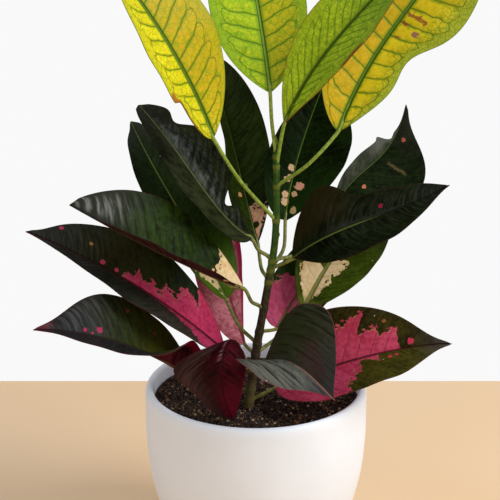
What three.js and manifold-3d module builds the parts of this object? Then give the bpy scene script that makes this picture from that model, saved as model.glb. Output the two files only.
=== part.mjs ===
// Potted croton: a matte white pot filled with potting mix, one thin woody stem and nineteen leaves.
// Millimetres, +Z up. The origin is the centre of the pot's flat foot; the plant's front faces -Y.
import * as THREE from "three";
import { mergeVertices } from "three/addons/utils/BufferGeometryUtils.js";
import Module from "manifold-3d";

const wasm = await Module();
wasm.setup();

// ---- Driving dimensions ---------------------------------------------------------------------------
const GAP = 0.3; // clearance between neighbouring pieces
const ROUND = 44; // facets around the pot and the soil

const POT_HEIGHT = 121;
const WALL = 5.3; // wall thickness of the pot
const FLOOR = 7; // inner floor above the foot
const FOOT_RADIUS = 46;
// Outer wall of the pot as [radius, height], foot to just under the lip.
const POT_WALL = [
  [FOOT_RADIUS, 0], [48.2, 1.2], [51.5, 9], [58, 26], [64, 45], [68.4, 65], [70.4, 88], [70.5, 116],
];

const SOIL_TOP = 112; // nine millimetres of watering space are left under the lip
const SOIL_ROUGH = 0.7; // height of the low lumps in the soil's top

// Centre line of the stem, soil to top bud, and its radius at both ends.
const STEM = [[-6, -23, 90], [-5, -20, 109], [0, -15, 149], [5, -13, 178], [9, -11, 201], [11.4, -9, 219],
  [12.1, -8, 244], [11.7, -7, 276]];
const STEM_RADIUS = [3.0, 1.9];

const STALK_RADIUS = 1.2; // petiole
const BLADE = 0.8; // leaf thickness

// One row a leaf. rib: four points that the midrib passes, stalk end to tip. face: which way the upper
// side looks, at the stalk end and at the tip. width: the left and right half's greatest width.
// m, n: how each half swells from the stalk end and narrows to the tip. fold: each half's rise from flat
// in degrees, as left start, left end, right start, right end. dent: [half, place, depth, spread] of a
// dip in the margin. kick: [half, place, degrees, spread] of extra rise. node: where the stalk leaves
// the stem, by height. via: points that the stalk passes on its way.
const LEAVES = {
  leaf_yellow_left: {
    rib: [[-25, -28, 286], [-42, -38, 328], [-63, -44, 364], [-88, -40, 396]],
    face: [[0.6, -0.85, 0.2], [0.5, -0.8, 0.4]], width: [27, 32], m: [0.6, 0.85], n: [0.9, 0.9],
    fold: [28, 40, 8, 0], node: 231, via: [[-10, -20, 259]],
  },
  leaf_yellow_top: {
    rib: [[8, -9, 309], [3, 4, 344], [-4, 20, 383], [-12, 40, 427]],
    face: [[0, -1, 0.1], [0, -0.9, 0.5]], width: [29, 29], m: [0.85, 0.85], n: [1.0, 1.0],
    fold: [12, 8, 12, 8], node: 270, via: [[9, -9, 292]],
  },
  leaf_green_top: {
    rib: [[16, -12, 290], [35, -18, 327], [61, -24, 360], [92, -30, 393]],
    face: [[-0.15, -0.9, 0.4], [-0.15, -0.8, 0.5]], width: [22, 19], m: [1.1, 1.15], n: [1.0, 1.0],
    fold: [20, 20, 30, 30], node: 264, via: [],
  },
  leaf_yellow_right: {
    rib: [[48, -14, 287], [70, 0, 330], [97, 8, 367], [126, 6, 410]],
    face: [[-0.1, -1, 0.2], [0.1, -0.8, 0.6]], width: [33, 34], m: [0.7, 0.8], n: [0.9, 0.55],
    fold: [22, 15, 18, 8], dent: [[1, 0.37, 0.36, 0.14]], node: 252, via: [[31, -16, 268]],
  },
  leaf_dark_back_left: {
    rib: [[1, 6, 212], [-8, 24, 243], [-18, 44, 279], [-32, 60, 321]],
    face: [[0.1, -1, 0.3], [0, -0.9, 0.5]], width: [17, 23], m: [0.5, 0.9], n: [1.3, 0.6],
    fold: [45, 75, 15, 10], node: 193, via: [[3, -2, 199]],
  },
  leaf_dark_back_right: {
    rib: [[18, 8, 226], [24, 26, 253], [33, 44, 278], [44, 58, 304]],
    face: [[-0.2, -1, 0.3], [-0.1, -0.9, 0.5]], width: [19, 32], m: [0.5, 0.8], n: [0.8, 0.75],
    fold: [20, 15, 15, 10], node: 200, via: [[17, 0, 211]],
  },
  leaf_dark_right_upper: {
    rib: [[45, 6, 217], [58.5, 15, 248], [79, 29, 263], [94, 38, 294]],
    face: [[-0.1, -0.9, 0.4], [-0.3, -0.9, 0.4]], width: [11, 39], m: [1.2, 0.7], n: [0.8, 0.8],
    fold: [40, 40, 20, 15], dent: [[0, 0.93, 0.95, 0.16], [0, 0.8, 0.6, 0.035], [0, 0.735, -0.35, 0.03], [1, 0.96, 0.65, 0.14]],
    node: 206, via: [[28, -1, 208]],
  },
  leaf_patch_right: {
    rib: [[30, 4, 169], [45, 18, 193], [62, 32, 213], [84, 44, 235]],
    face: [[-0.1, -0.9, 0.4], [-0.1, -0.9, 0.4]], width: [24, 26], m: [0.7, 0.7], n: [0.6, 0.6],
    fold: [15, 10, 15, 10], node: 147, via: [[14, -6, 155]],
  },
  leaf_pink_back_right: {
    rib: [[13, 4, 156], [29, 18, 178], [48, 32, 202], [66, 44, 227]],
    face: [[-0.2, -0.9, 0.4], [-0.1, -0.9, 0.4]], width: [20, 20], m: [0.45, 0.6], n: [0.8, 0.9],
    fold: [15, 10, 15, 10], node: 161, via: [],
  },
  leaf_dark_left_upper: {
    rib: [[-3, -8, 220], [-24, -10, 240], [-46, -8, 271], [-71, 2, 300]],
    face: [[0.55, -0.5, 0.65], [0.55, -0.5, 0.65]], width: [24, 29], m: [0.6, 1.2], n: [0.6, 0.8],
    fold: [20, 18, 12, 8], dent: [[1, 0.3, 0.66, 0.06], [1, 0.82, 0.45, 0.06]], node: 207, via: [[1, -10, 213]],
  },
  leaf_patch_left: {
    rib: [[-19, 6, 175], [-38, 22, 209], [-61, 36, 246], [-80, 48, 281]],
    face: [[0.5, -0.6, 0.55], [0.5, -0.6, 0.55]], width: [24, 24], m: [0.6, 0.6], n: [0.7, 0.7],
    fold: [20, 12, 20, 12], dent: [[0, 0.97, 0.5, 0.05]], node: 153, via: [[-11, -5, 162]],
  },
  leaf_dark_left: {
    rib: [[-7, -20, 191], [-39, -34, 210], [-73, -44, 231], [-108, -44, 251]],
    face: [[0, -0.28, 0.96], [0, -0.28, 0.96]], width: [16, 31], m: [1.3, 1.0], n: [1.0, 0.8],
    fold: [42, 38, 48, 40], node: 176, via: [[-3, -17, 182]],
  },
  leaf_pink_left: {
    rib: [[-19, -5, 143], [-54, -16, 178], [-94, -20, 206], [-140, -14, 226]],
    face: [[0, -0.415, 0.909], [0, -0.415, 0.909]], width: [21, 29], m: [0.8, 0.9], n: [1.1, 0.9],
    fold: [14, 24, 24, 24], dent: [[0, 0.95, 0.4, 0.1], [1, 0.97, 0.4, 0.06]], node: 140, via: [],
  },
  leaf_pink_back_left: {
    rib: [[-7, 2, 146], [-17, 20, 172], [-26, 40, 200], [-33, 58, 233]],
    face: [[-0.2, -1, 0.3], [0.1, -0.9, 0.5]], width: [18, 16], m: [0.6, 1.3], n: [0.7, 0.6],
    fold: [15, 10, 15, 10], node: 146, via: [],
  },
  leaf_low_left: {
    rib: [[-35, -7, 122], [-64, -32, 153], [-96, -52, 173], [-130, -60, 180]],
    face: [[0, -0.478, 0.879], [0, -0.478, 0.879]], width: [24, 29], m: [0.6, 1.2], n: [1.1, 1.1],
    fold: [30, 28, 30, 25], dent: [[0, 0.94, 0.3, 0.12], [1, 0.94, 0.45, 0.14]],
    kick: [[0, 0.15, 80, 0.19]], node: 124, via: [[-18, -14, 122]],
  },
  leaf_wine_front: {
    rib: [[-9, -26, 153], [-17, -39, 164], [-21, -49, 148], [-14, -52, 119]],
    face: [[0, -0.2, 1], [0, -1, 0.3]], width: [15, 20], m: [1.3, 1.6], n: [0.8, 0.8],
    fold: [-10, -10, -42, -28], dent: [[1, 0.66, -0.75, 0.12]], node: 133, via: [],
  },
  leaf_dark_front: {
    rib: [[4, -42, 150], [17, -58, 160], [31, -69, 155], [46, -72, 140]],
    face: [[0.16, -0.12, 0.98], [0.2, -0.5, 0.8]], width: [36, 27], m: [1.0, 0.4], n: [1.6, 1.15],
    fold: [60, 50, 20, -30], dent: [[1, 0.82, 0.35, 0.16], [1, 0.97, 0.7, 0.1], [0, 0.5, -0.1, 0.12]], node: 137, via: [],
  },
  leaf_pink_right: {
    rib: [[12, -20, 126], [45, -26, 142], [82, -24, 152], [122, -14, 153]],
    face: [[0, -0.7, 0.71], [0, -0.7, 0.71]], width: [35, 31], m: [0.7, 0.7], n: [1.1, 1.0],
    fold: [28, 28, 34, 34], dent: [[0, 0.94, 0.45, 0.13], [1, 0.94, 0.35, 0.13]], node: 117, via: [],
  },
  leaf_dark_right: {
    rib: [[22, -16, 209], [49, -34, 232], [80, -42, 247], [111, -42, 262]],
    face: [[0, -0.637, 0.772], [0, -0.637, 0.772]], width: [34, 27], m: [0.8, 1.2], n: [1.2, 1.6],
    fold: [18, 18, 18, 18], dent: [[0, 0.5, 0.5, 0.14], [0, 0.72, 0.45, 0.16]], node: 201, via: [],
  },
};

const COLOURS = {
  leaf_yellow_left: 0xc9b52a, leaf_yellow_top: 0xb7bd33, leaf_green_top: 0x7fa02f,
  leaf_yellow_right: 0xcbb02c, leaf_wine_front: 0x5a1424, leaf_pink_left: 0x8c2f4d,
  leaf_pink_right: 0x8c3046, leaf_pink_back_left: 0xb04a66, leaf_pink_back_right: 0x9c4358,
};
const DARK_LEAF = 0x20301c;

// ---- Solids ---------------------------------------------------------------------------------------
const vec = (p) => new THREE.Vector3(...p);
const rad = THREE.MathUtils.degToRad;

// A closed mesh as a manifold-3d solid with its faces outward.
function solid(geometry) {
  const bare = new THREE.BufferGeometry();
  bare.setAttribute("position", geometry.getAttribute("position"));
  if (geometry.index) bare.setIndex(geometry.index);
  const merged = mergeVertices(bare, 1e-3);
  return new wasm.Manifold(
    new wasm.Mesh({
      numProp: 3,
      vertProperties: new Float32Array(merged.attributes.position.array),
      triVerts: new Uint32Array(merged.index.array),
    }),
  );
}

// The largest body of a solid as a three.js geometry.
function geometryOf(body) {
  const whole = body.decompose().sort((a, b) => b.volume() - a.volume())[0];
  const mesh = whole.getMesh();
  const geometry = new THREE.BufferGeometry();
  geometry.setAttribute("position", new THREE.BufferAttribute(mesh.vertProperties, 3));
  geometry.setIndex(new THREE.BufferAttribute(mesh.triVerts, 1));
  geometry.computeVertexNormals();
  return geometry;
}

// A round tube along a curve whose radius follows radiusAt(0..1).
function tube(curve, radiusAt, sides, steps) {
  const section = new THREE.Shape();
  for (let i = 0; i <= sides; i++) {
    const a = (2 * Math.PI * i) / sides;
    if (i === 0) section.moveTo(1, 0);
    else section.lineTo(Math.cos(a), Math.sin(a));
  }
  const geometry = new THREE.ExtrudeGeometry(section, { steps, extrudePath: curve, bevelEnabled: false });
  const centres = curve.getSpacedPoints(steps);
  const position = geometry.getAttribute("position");
  for (let i = 0; i < position.count; i++) {
    const p = new THREE.Vector3().fromBufferAttribute(position, i);
    let near = 0;
    for (let k = 1; k <= steps; k++)
      if (centres[k].distanceTo(p) < centres[near].distanceTo(p)) near = k;
    p.sub(centres[near]).setLength(radiusAt(near / steps)).add(centres[near]);
    position.setXYZ(i, p.x, p.y, p.z);
  }
  return geometry;
}

// ---- Leaf surface ---------------------------------------------------------------------------------
// Cubic through four points at t = 0, 1/3, 2/3 and 1.
function ribCurve(points) {
  const [a, b, c, d] = points.map(vec);
  const mix = (wa, wb, wc, wd) =>
    new THREE.Vector3().addScaledVector(a, wa / 6).addScaledVector(b, wb / 6)
      .addScaledVector(c, wc / 6).addScaledVector(d, wd / 6);
  return new THREE.CubicBezierCurve3(a, mix(-5, 18, -9, 2), mix(2, -9, 18, -5), d);
}

// Half width along the leaf, 0 at both ends and 1 at the widest place.
function swell(t, m, n) {
  const peak = m / (m + n);
  return (t / peak) ** m * ((1 - t) / (1 - peak)) ** n;
}

// Point and upward normal of a blade at t along the midrib and v from -1 to 1 across it.
function bladePoint(leaf, curve, t, v) {
  const along = curve.getTangent(t).normalize();
  const face = vec(leaf.face[0]).lerp(vec(leaf.face[1]), t);
  const up = face.addScaledVector(along, -face.dot(along)).normalize();
  const right = new THREE.Vector3().crossVectors(along, up);
  const half = v < 0 ? 0 : 1;
  let width = leaf.width[half] * swell(t, leaf.m[half], leaf.n[half]);
  for (const [side, place, depth, spread] of leaf.dent ?? [])
    if (side === half) width *= 1 - depth * Math.exp(-(((t - place) / spread) ** 2));
  const rise = (h) => {
    let angle = leaf.fold[2 * h] + (leaf.fold[2 * h + 1] - leaf.fold[2 * h]) * t;
    for (const [side, place, degrees, spread] of leaf.kick ?? [])
      if (side === h) angle += degrees * Math.exp(-(((t - place) / spread) ** 2));
    return rad(angle);
  };
  const angle = rise(half);
  const sign = half ? 1 : -1;
  const point = curve.getPoint(t)
    .addScaledVector(right, sign * Math.abs(v) * width * Math.cos(angle))
    .addScaledVector(up, Math.abs(v) * width * Math.sin(angle));
  const normal = up.clone().multiplyScalar(Math.cos(angle)).addScaledVector(right, -sign * Math.sin(angle));
  if (v === 0) {
    const other = rise(0);
    normal.addScaledVector(up, Math.cos(other)).addScaledVector(right, Math.sin(other)).normalize();
    normal.divideScalar(Math.max(0.6, Math.cos((angle + other) / 2)));
  }
  return [point, normal];
}

// Closed sheet of the blade's thickness.
function blade(leaf, curve) {
  const stations = [0.015, 0.07, 0.16, 0.27, 0.39, 0.52, 0.65, 0.78, 0.9, 0.992];
  const across = [-1, -0.5, 0, 0.5, 1];
  const rows = stations.length, cols = across.length;
  const positions = [];
  for (const side of [1, -1])
    for (const t of stations)
      for (const v of across) {
        const [point, normal] = bladePoint(leaf, curve, t, v);
        positions.push(...point.addScaledVector(normal, (side * BLADE) / 2));
      }
  const at = (side, i, j) => (side > 0 ? 0 : rows * cols) + i * cols + j;
  const index = [];
  const quad = (a, b, c, d) => index.push(a, b, c, a, c, d);
  for (let i = 0; i + 1 < rows; i++) {
    for (let j = 0; j + 1 < cols; j++) {
      quad(at(1, i, j), at(1, i, j + 1), at(1, i + 1, j + 1), at(1, i + 1, j));
      quad(at(-1, i, j), at(-1, i + 1, j), at(-1, i + 1, j + 1), at(-1, i, j + 1));
    }
    quad(at(1, i, 0), at(1, i + 1, 0), at(-1, i + 1, 0), at(-1, i, 0));
    quad(at(1, i, cols - 1), at(-1, i, cols - 1), at(-1, i + 1, cols - 1), at(1, i + 1, cols - 1));
  }
  for (let j = 0; j + 1 < cols; j++) {
    quad(at(1, 0, j), at(-1, 0, j), at(-1, 0, j + 1), at(1, 0, j + 1));
    quad(at(1, rows - 1, j), at(1, rows - 1, j + 1), at(-1, rows - 1, j + 1), at(-1, rows - 1, j));
  }
  const geometry = new THREE.BufferGeometry();
  geometry.setAttribute("position", new THREE.Float32BufferAttribute(positions, 3));
  geometry.setIndex(index);
  return geometry;
}

// Point of the stem's centre line at a height.
function stemAt(z) {
  for (let i = 0; i + 1 < STEM.length; i++)
    if (z <= STEM[i + 1][2]) {
      const f = (z - STEM[i][2]) / (STEM[i + 1][2] - STEM[i][2]);
      return vec(STEM[i]).lerp(vec(STEM[i + 1]), f);
    }
  return vec(STEM[STEM.length - 1]);
}

// A leaf with its stalk, cut back to clear the stem.
function leafGeometry(leaf, stemRoom) {
  const curve = ribCurve(leaf.rib);
  const start = stemAt(leaf.node);
  const via = leaf.via.map(vec);
  const base = curve.getPoint(0);
  const next = via[0] ?? base;
  const out = next.clone().sub(start).setLength(5).add(start);
  const underRib = [curve.getPoint(0.07), curve.getPoint(0.14)];
  const path = new THREE.CatmullRomCurve3([start, out, ...via, base, ...underRib]);
  const stalk = tube(path, (s) => STALK_RADIUS * (s > 0.97 ? 0.4 : 1), 6, 9);
  return geometryOf(solid(blade(leaf, curve)).add(solid(stalk)).subtract(stemRoom));
}

// ---- Pot and soil ---------------------------------------------------------------------------------
function lathe(profile) {
  const points = profile.map(([r, z]) => new THREE.Vector2(r, z));
  return new THREE.LatheGeometry(points, ROUND).rotateX(Math.PI / 2);
}

// Inner wall of the pot, floor first, pulled in by a clearance.
const innerWall = (clearance) => [
  [POT_WALL[2][0] - WALL - clearance, FLOOR + clearance],
  ...POT_WALL.slice(3).map(([r, z]) => [r - WALL - clearance, z]),
];

function potGeometry() {
  const lip = POT_HEIGHT;
  return lathe([
    [0, 0], ...POT_WALL,
    [70.1, lip - 2.6], [69.2, lip - 0.9], [67.7, lip], [66.4, lip - 0.5], [65.5, lip - 2.1],
    ...innerWall(0).reverse(), [0, FLOOR],
  ]);
}

function soilGeometry(stemRoom) {
  const wall = innerWall(GAP).filter(([, z]) => z < SOIL_TOP - 2);
  const edge = wall[wall.length - 1][0];
  const top = [edge, 58, 46, 34, 22, 10].map((r) => [r, SOIL_TOP]);
  const geometry = lathe([[0, FLOOR + GAP], ...wall, ...top, [0, SOIL_TOP]]);
  const position = geometry.getAttribute("position");
  for (let i = 0; i < position.count; i++) {
    const x = position.getX(i), y = position.getY(i);
    if (position.getZ(i) < SOIL_TOP - 0.1 || Math.hypot(x, y) > 60) continue;
    const lump = Math.sin(0.31 * x + 1) * Math.cos(0.27 * y) + 0.4 * Math.sin(0.7 * x - 0.5 * y);
    position.setZ(i, SOIL_TOP + SOIL_ROUGH * lump);
  }
  return geometryOf(solid(geometry).subtract(stemRoom));
}

// ---- Assembly -------------------------------------------------------------------------------------
const plant = new THREE.Group();

function piece(name, geometry, color, roughness) {
  const mesh = new THREE.Mesh(geometry, new THREE.MeshStandardMaterial({ color, roughness, metalness: 0 }));
  mesh.name = name;
  plant.add(mesh);
}

const stemRadius = (extra) => (s) => THREE.MathUtils.lerp(STEM_RADIUS[0], STEM_RADIUS[1], s) + extra;
// The stem grown by a clearance all round and at both ends.
function stemGeometry(extra) {
  const points = STEM.map(vec);
  points[0].z -= extra;
  points[points.length - 1].z += extra;
  return tube(new THREE.CatmullRomCurve3(points), stemRadius(extra), 10, 18);
}
const stemRoom = solid(stemGeometry(GAP));

piece("pot", potGeometry(), 0xe9e6e1, 0.55);
piece("soil", soilGeometry(stemRoom), 0x2b1d15, 0.95);
piece("stem", stemGeometry(0), 0x4a4224, 0.7);
for (const [name, leaf] of Object.entries(LEAVES))
  piece(name, leafGeometry(leaf, stemRoom), COLOURS[name] ?? DARK_LEAF, 0.35);

export default plant;
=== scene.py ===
import bpy
import numpy as np
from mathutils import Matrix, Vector


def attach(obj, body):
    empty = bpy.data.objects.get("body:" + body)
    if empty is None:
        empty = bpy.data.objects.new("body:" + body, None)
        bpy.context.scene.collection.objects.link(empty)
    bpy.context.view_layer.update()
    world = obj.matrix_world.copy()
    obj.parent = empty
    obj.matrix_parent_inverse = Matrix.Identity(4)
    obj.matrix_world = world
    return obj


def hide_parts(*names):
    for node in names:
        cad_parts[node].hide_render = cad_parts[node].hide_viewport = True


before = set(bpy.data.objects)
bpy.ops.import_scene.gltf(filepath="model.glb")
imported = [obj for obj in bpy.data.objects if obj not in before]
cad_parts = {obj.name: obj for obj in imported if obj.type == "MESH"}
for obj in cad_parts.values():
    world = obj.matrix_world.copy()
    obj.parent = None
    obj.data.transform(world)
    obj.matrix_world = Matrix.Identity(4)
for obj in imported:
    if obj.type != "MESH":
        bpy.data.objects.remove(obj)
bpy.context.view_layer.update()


# --------------------------------------
# Pot. A round stoneware planter thrown on a wheel: a thick wall that flares from a narrow foot
# and ends in a soft rolled lip. It is dipped in matt white glaze, and the foot ring is wiped bare.
MM = 0.001  # sizes here are in millimetres, and Blender's are in metres
POT_SECTORS = 160


def srgb(code):
    """A screen colour code 0xRRGGBB as linear red, green, blue and 1."""
    parts = [(code >> shift & 255) / 255 for shift in (16, 8, 0)]
    return tuple(c / 12.92 if c <= 0.04045 else ((c + 0.055) / 1.055) ** 2.4 for c in parts) + (1.0,)


def operator(kind):
    """A node-adding operator and its reflected form."""
    def plain(wire, other):
        return wire.math(kind, wire, other)

    def reflected(wire, other):
        return wire.math(kind, other, wire)

    return plain, reflected


class Wire:
    """One output of a node tree. Arithmetic between wires, or with numbers, adds Math nodes."""
    __add__, __radd__ = operator("ADD")
    __sub__, __rsub__ = operator("SUBTRACT")
    __mul__, __rmul__ = operator("MULTIPLY")
    __truediv__, __rtruediv__ = operator("DIVIDE")
    __or__, __ror__ = operator("MAXIMUM")

    def __init__(self, tree, socket=None):
        self.tree = tree
        self.socket = socket

    def __abs__(self):
        return self.math("ABSOLUTE", self)

    def add(self, kind, inputs=None, out=0, **settings):
        """Adds a shader node: its settings first, or a ramp's stops as (place, level), then a number,
        colour or wire on each named socket."""
        node = self.tree.nodes.new("ShaderNode" + kind)
        for key, value in settings.items():
            if key == "stops":
                elements = node.color_ramp.elements
                while len(elements) < len(value):
                    elements.new(0.5)
                for element, (place, level) in zip(elements, value):
                    element.position = place
                    element.color = (level, level, level, 1.0)
            else:
                setattr(node, key, value)
        for key, value in (inputs or {}).items():
            if isinstance(value, Wire):
                self.tree.links.new(value.socket, node.inputs[key])
            else:
                node.inputs[key].default_value = value
        return Wire(self.tree, node.outputs[out])

    def math(self, operation, a, b=0.0):
        return self.add("Math", {0: a, 1: b}, operation=operation)

    def rise(self, low, high):
        """0 below low and 1 above high, smooth between. With low above high it falls instead."""
        inputs = {"Value": self, "From Min": low, "From Max": high}
        return self.add("MapRange", inputs, interpolation_type="SMOOTHSTEP")

    def table(self, stops):
        """Straight lines through (place, level) stops."""
        return self.add("ValToRGB", {"Fac": self}, stops=stops)

    def paint(self, base, coat, blend="MIX"):
        """The coat where this mask is 1 and the base where it is 0, each a wire or a colour code."""
        base, coat = (srgb(colour) if isinstance(colour, int) else colour for colour in (base, coat))
        return self.add("Mix", {0: self, 6: base, 7: coat}, 2, data_type="RGBA", blend_type=blend)

    def cloud(self, scale, detail=2.0, roughness=0.5):
        """Soft noise around 0.5 at a number of lumps per unit."""
        inputs = {"Vector": self, "Scale": scale, "Detail": detail, "Roughness": roughness}
        return self.add("TexNoise", inputs)

    def cells(self, scale, feature="F1", out=0):
        """Cells of random points: distance (out 0) or a colour each (out 1)."""
        return self.add("TexVoronoi", {"Vector": self, "Scale": scale}, out, feature=feature)

    def part(self, axis):
        """The X, Y or Z of a vector."""
        return self.add("SeparateXYZ", {0: self}, axis)


def new_finish(name):
    """An empty finish: its material, a wire to start from, and its shader."""
    material = bpy.data.materials.new(name)
    material.use_nodes = True
    shader = material.node_tree.nodes["Principled BSDF"]
    return material, Wire(material.node_tree), shader


def placed_finish(name):
    """An empty finish, and the wire of each point's place in metres."""
    finish = new_finish(name)
    return finish, finish[1].add("TexCoord", out="Object")


def wear(finish, colour, roughness, height=None, shine=0.5):
    """Puts colour, roughness, shine and a bump in millimetres on a finish's shader."""
    material, start, shader = finish
    shader.inputs["Specular IOR Level"].default_value = shine
    for key, value in (("Base Color", colour), ("Roughness", roughness)):
        if isinstance(value, Wire):
            material.node_tree.links.new(value.socket, shader.inputs[key])
        else:
            shader.inputs[key].default_value = value
    if height is not None:
        bump = start.add("Bump", {"Strength": 1.0, "Distance": MM, "Height": height})
        material.node_tree.links.new(bump.socket, shader.inputs["Normal"])
    return material


def smooth_path(points, steps):
    """Catmull-Rom line. Between b and c, with a before and d after, the point at fraction f is
    b + f/2 (c - a + f (2a - 5b + 4c - d + f (3 (b - c) + d - a)))."""
    p = np.asarray(points, float)
    p = np.vstack([2 * p[0] - p[1], p, 2 * p[-1] - p[-2]])
    u = np.linspace(0, len(p) - 3 - 1e-9, steps)
    i = u.astype(int)
    f = (u - i)[:, None]
    a, b, c, d = p[i], p[i + 1], p[i + 2], p[i + 3]
    return b + 0.5 * f * (c - a + f * (2 * a - 5 * b + 4 * c - d + f * (3 * (b - c) + d - a)))


def grid_faces(rows, columns, closed=False):
    """Four-sided faces between neighbouring rows of points, joined in a ring if closed."""
    i = np.arange(rows - 1)[:, None]
    j = np.arange(columns if closed else columns - 1)
    k = (j + 1) % columns
    a, b = i * columns + j, i * columns + k
    return np.stack([a, b, b + columns, a + columns], -1).reshape(-1, 4)


def ring_ends(rows, sides, first, last):
    """Fans of triangles from point first to the lowest ring and from point last to the highest."""
    j = np.arange(sides)
    k = (j + 1) % sides
    top = (rows - 1) * sides
    return [np.stack([first + 0 * j, k, j], -1), np.stack([last + 0 * j, top + j, top + k], -1)]


def turned(profile, sectors):
    """A profile of (radius, height) turned round the Z axis, both its ends on the axis. A point is
    (r cos a, r sin a, z) with the angle a in equal steps. Gives points and faces."""
    profile = np.asarray(profile, float)
    angle = np.arange(sectors) * 2 * np.pi / sectors
    r, z = profile[1:-1, :1], profile[1:-1, 1:]
    ring = np.stack([r * np.cos(angle), r * np.sin(angle), z + 0 * angle], -1).reshape(-1, 3)
    ends = np.array([[0, 0, profile[0, 1]], [0, 0, profile[-1, 1]]])
    rows = len(profile) - 2
    faces = [grid_faces(rows, sectors, True), *ring_ends(rows, sectors, len(ring), len(ring) + 1)]
    return np.vstack([ring, ends]), faces


def put(name, data):
    """A new object in the scene."""
    thing = bpy.data.objects.new(name, data)
    bpy.context.scene.collection.objects.link(thing)
    return thing


def add_piece(name, shells, finishes, node, crease=40):
    """Makes one object of closed shells. A shell is its points in mm, its blocks of faces, the
    finish number of each block, and named values (three numbers a point) for the finishes."""
    points, faces, numbers, base = [], [], [], 0
    named = sorted({key for shell in shells for key in shell[3]})
    values = {key: [] for key in named}
    for shell_points, blocks, finish, marks in shells:
        for block, number in zip(blocks, finish):
            faces += (block + base).tolist()
            numbers += [number] * len(block)
        for key in named:
            values[key].append(marks.get(key, np.zeros_like(shell_points)))
        points.append(shell_points)
        base += len(shell_points)
    mesh = bpy.data.meshes.new(name)
    mesh.from_pydata(np.vstack(points) * MM, [], faces)
    mesh.polygons.foreach_set("material_index", numbers)
    mesh.polygons.foreach_set("use_smooth", [True] * len(faces))
    mesh.set_sharp_from_angle(angle=np.radians(crease))
    for key in named:
        layer = mesh.attributes.new(key, "FLOAT_VECTOR", "POINT")
        layer.data.foreach_set("vector", np.vstack(values[key]).astype(np.float32).ravel())
    for finish in finishes:
        mesh.materials.append(finish)
    piece = put(name, mesh)
    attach(piece, "root")
    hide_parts(node)


def white_glaze():
    """Matt white with faint clouds and fine pits, and bare buff clay on the lowest millimetre."""
    finish, place = placed_finish("matt white glaze")
    cloudy = place.cloud(22, 3)
    pitted = place.cloud(900, 2)
    bare = place.part(2).rise(0.0012, 0.0004)
    glaze = cloudy.rise(0.3, 0.7).paint(0xEBEEF2, 0xF0F3F7)
    glaze = bare.paint(glaze, 0xC9BCA8)
    return wear(finish, glaze, 0.46 + 0.1 * cloudy + 0.25 * bare, pitted * 0.02 + cloudy * 0.12)


foot_line = [[0, 1.1], [30, 1.1], [40.4, 1.1], [41.6, 0.7], [42.2, 0.05], [43, 0], [46.6, 0], [47.6, 0.35]]
wall_line = [[48.2, 1.3], [51.5, 9], [58, 26], [64, 45], [68.4, 65], [70.4, 88], [70.5, 116]]
lip_line = [[70.5, 116], [70.1, 118.4], [69.2, 120.1], [67.7, 121], [66.4, 120.5], [65.5, 118.9], [65.2, 115]]
inner_line = [[65.2, 115], [65.1, 88], [63.1, 65], [58.7, 45], [52.7, 26], [47.4, 11]]
floor_line = [[46.2, 8.4], [44.2, 7], [20, 7], [0, 7]]
pot_points, pot_faces = turned(np.vstack([
    foot_line,
    smooth_path(wall_line, 60),
    smooth_path(lip_line, 26)[1:],
    smooth_path(inner_line, 20)[1:],
    floor_line,
]), POT_SECTORS)
add_piece("pot", [(pot_points, pot_faces, [0, 0, 0], {})], [white_glaze()], "pot", 50)


# --------------------------------------
# Soil. Dark peat and bark potting mix, filled to nine millimetres under the lip and watered in:
# a lumpy bed of fine dark grains, with a few brown bark crumbs and pale bits lying on top.
SOIL_SEED = 11
BED_LEVEL = 111.6
BED_SECTORS = 150
LUMP_HEIGHT = 0.9
CRUMBS = 7600
CRUMB_REACH = 62.6  # how far from the axis crumbs lie


def lumps(x, y, rng, count=60, shortest=2.5, longest=30):
    """A sum of waves, each in its own direction, length and phase, cut off at -1 and 1."""
    heading = rng.uniform(0, 2 * np.pi, count)
    length = np.exp(rng.uniform(np.log(shortest), np.log(longest), count))
    phase = rng.uniform(0, 2 * np.pi, count)
    turn = 2 * np.pi / length
    wave = np.sin(turn * (np.outer(x, np.cos(heading)) + np.outer(y, np.sin(heading))) + phase)
    return np.clip((wave * np.sqrt(length / longest)).sum(1) / np.sqrt(count) * 1.4, -1, 1)


def soil_bed(rng):
    """A turned plug that fills the pot, its top lifted by lumps that fade towards the wall."""
    side = smooth_path([[47, 11], [52.3, 26], [58.3, 45], [62.7, 65], [64.7, 88], [64.75, 111.2]], 16)
    points, faces = turned(np.vstack([
        [[0, 7.4], [20, 7.4], [43.8, 7.4], [45.8, 8.8], [47, 11]],
        side[1:],
        np.stack([np.linspace(64.5, 1.2, 54), np.full(54, BED_LEVEL)], -1),
        [[0, BED_LEVEL]],
    ]), BED_SECTORS)
    on_top = points[:, 2] > BED_LEVEL - 0.2
    fade = np.clip((66 - np.hypot(points[:, 0], points[:, 1])) / 6, 0.2, 1)
    rough = lumps(points[:, 0], points[:, 1], rng)
    points[:, 2] += np.where(on_top, rough * LUMP_HEIGHT * fade, 0)
    return points, faces, [0, 0, 0], {}


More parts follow.
